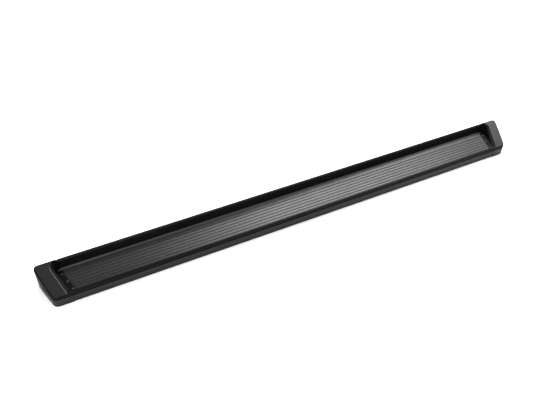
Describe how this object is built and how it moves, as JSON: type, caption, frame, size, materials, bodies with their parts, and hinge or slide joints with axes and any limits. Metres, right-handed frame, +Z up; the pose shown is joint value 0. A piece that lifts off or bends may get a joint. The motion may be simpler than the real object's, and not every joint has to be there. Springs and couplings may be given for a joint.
{
  "type": "running board",
  "caption": "Black running board for a pickup truck: ribbed tread pad on a long deck with a raised back wall, raked end caps, a front skirt and sliding bracket bolts underneath.",
  "frame": {"origin": "middle of the board, on the ground plane that its end caps stand on", "axes": "+X along the board's length to its right-hand end, +Y towards the vehicle, -Y the outer edge, +Z up"},
  "size_m": [2.2976, 0.15, 0.1047],
  "materials": {
    "coated_aluminium": "satin black powder coat",
    "tread_rubber": "satin ribbed elastomer",
    "moulded_black": "fine grained black plastic",
    "trim_rubber": "soft matte",
    "black_fastener": "black oxide",
    "zinc_steel": "zinc plated",
    "black_nylon": "matte"
  },
  "bodies": {
    "board": {"deck_extrusion": "coated_aluminium", "step_pad": "tread_rubber", "front_valance": "moulded_black", "valance_screws": "zinc_steel", "rear_edge_trim": "trim_rubber", "left_end_cap": "moulded_black", "left_tread_screws": "black_fastener", "left_rivet_nuts": "zinc_steel", "left_port_screws": "zinc_steel", "right_end_cap": "moulded_black", "right_tread_screws": "black_fastener", "right_rivet_nuts": "zinc_steel", "right_port_screws": "zinc_steel"},
    "left_front_carriage": {"left_front_slider_plate": "zinc_steel", "left_front_carriage_bolt": "zinc_steel", "left_front_retainer": "black_nylon"},
    "left_rear_carriage": {"left_rear_slider_plate": "zinc_steel", "left_rear_carriage_bolt": "zinc_steel", "left_rear_retainer": "black_nylon"},
    "middle_front_carriage": {"middle_front_slider_plate": "zinc_steel", "middle_front_carriage_bolt": "zinc_steel", "middle_front_retainer": "black_nylon"},
    "middle_rear_carriage": {"middle_rear_slider_plate": "zinc_steel", "middle_rear_carriage_bolt": "zinc_steel", "middle_rear_retainer": "black_nylon"},
    "right_front_carriage": {"right_front_slider_plate": "zinc_steel", "right_front_carriage_bolt": "zinc_steel", "right_front_retainer": "black_nylon"},
    "right_rear_carriage": {"right_rear_slider_plate": "zinc_steel", "right_rear_carriage_bolt": "zinc_steel", "right_rear_retainer": "black_nylon"}
  },
  "joints": [
    {"name": "left_front_slide", "type": "slide", "parent": "board", "child": "left_front_carriage", "axis": [1, 0, 0], "range_m": [-0.27, 0.35]},
    {"name": "left_rear_slide", "type": "slide", "parent": "board", "child": "left_rear_carriage", "axis": [1, 0, 0], "range_m": [-0.27, 0.35]},
    {"name": "middle_front_slide", "type": "slide", "parent": "board", "child": "middle_front_carriage", "axis": [1, 0, 0], "range_m": [-0.35, 0.35]},
    {"name": "middle_rear_slide", "type": "slide", "parent": "board", "child": "middle_rear_carriage", "axis": [1, 0, 0], "range_m": [-0.35, 0.35]},
    {"name": "right_front_slide", "type": "slide", "parent": "board", "child": "right_front_carriage", "axis": [1, 0, 0], "range_m": [-0.35, 0.27]},
    {"name": "right_rear_slide", "type": "slide", "parent": "board", "child": "right_rear_carriage", "axis": [1, 0, 0], "range_m": [-0.35, 0.27]}
  ]
}
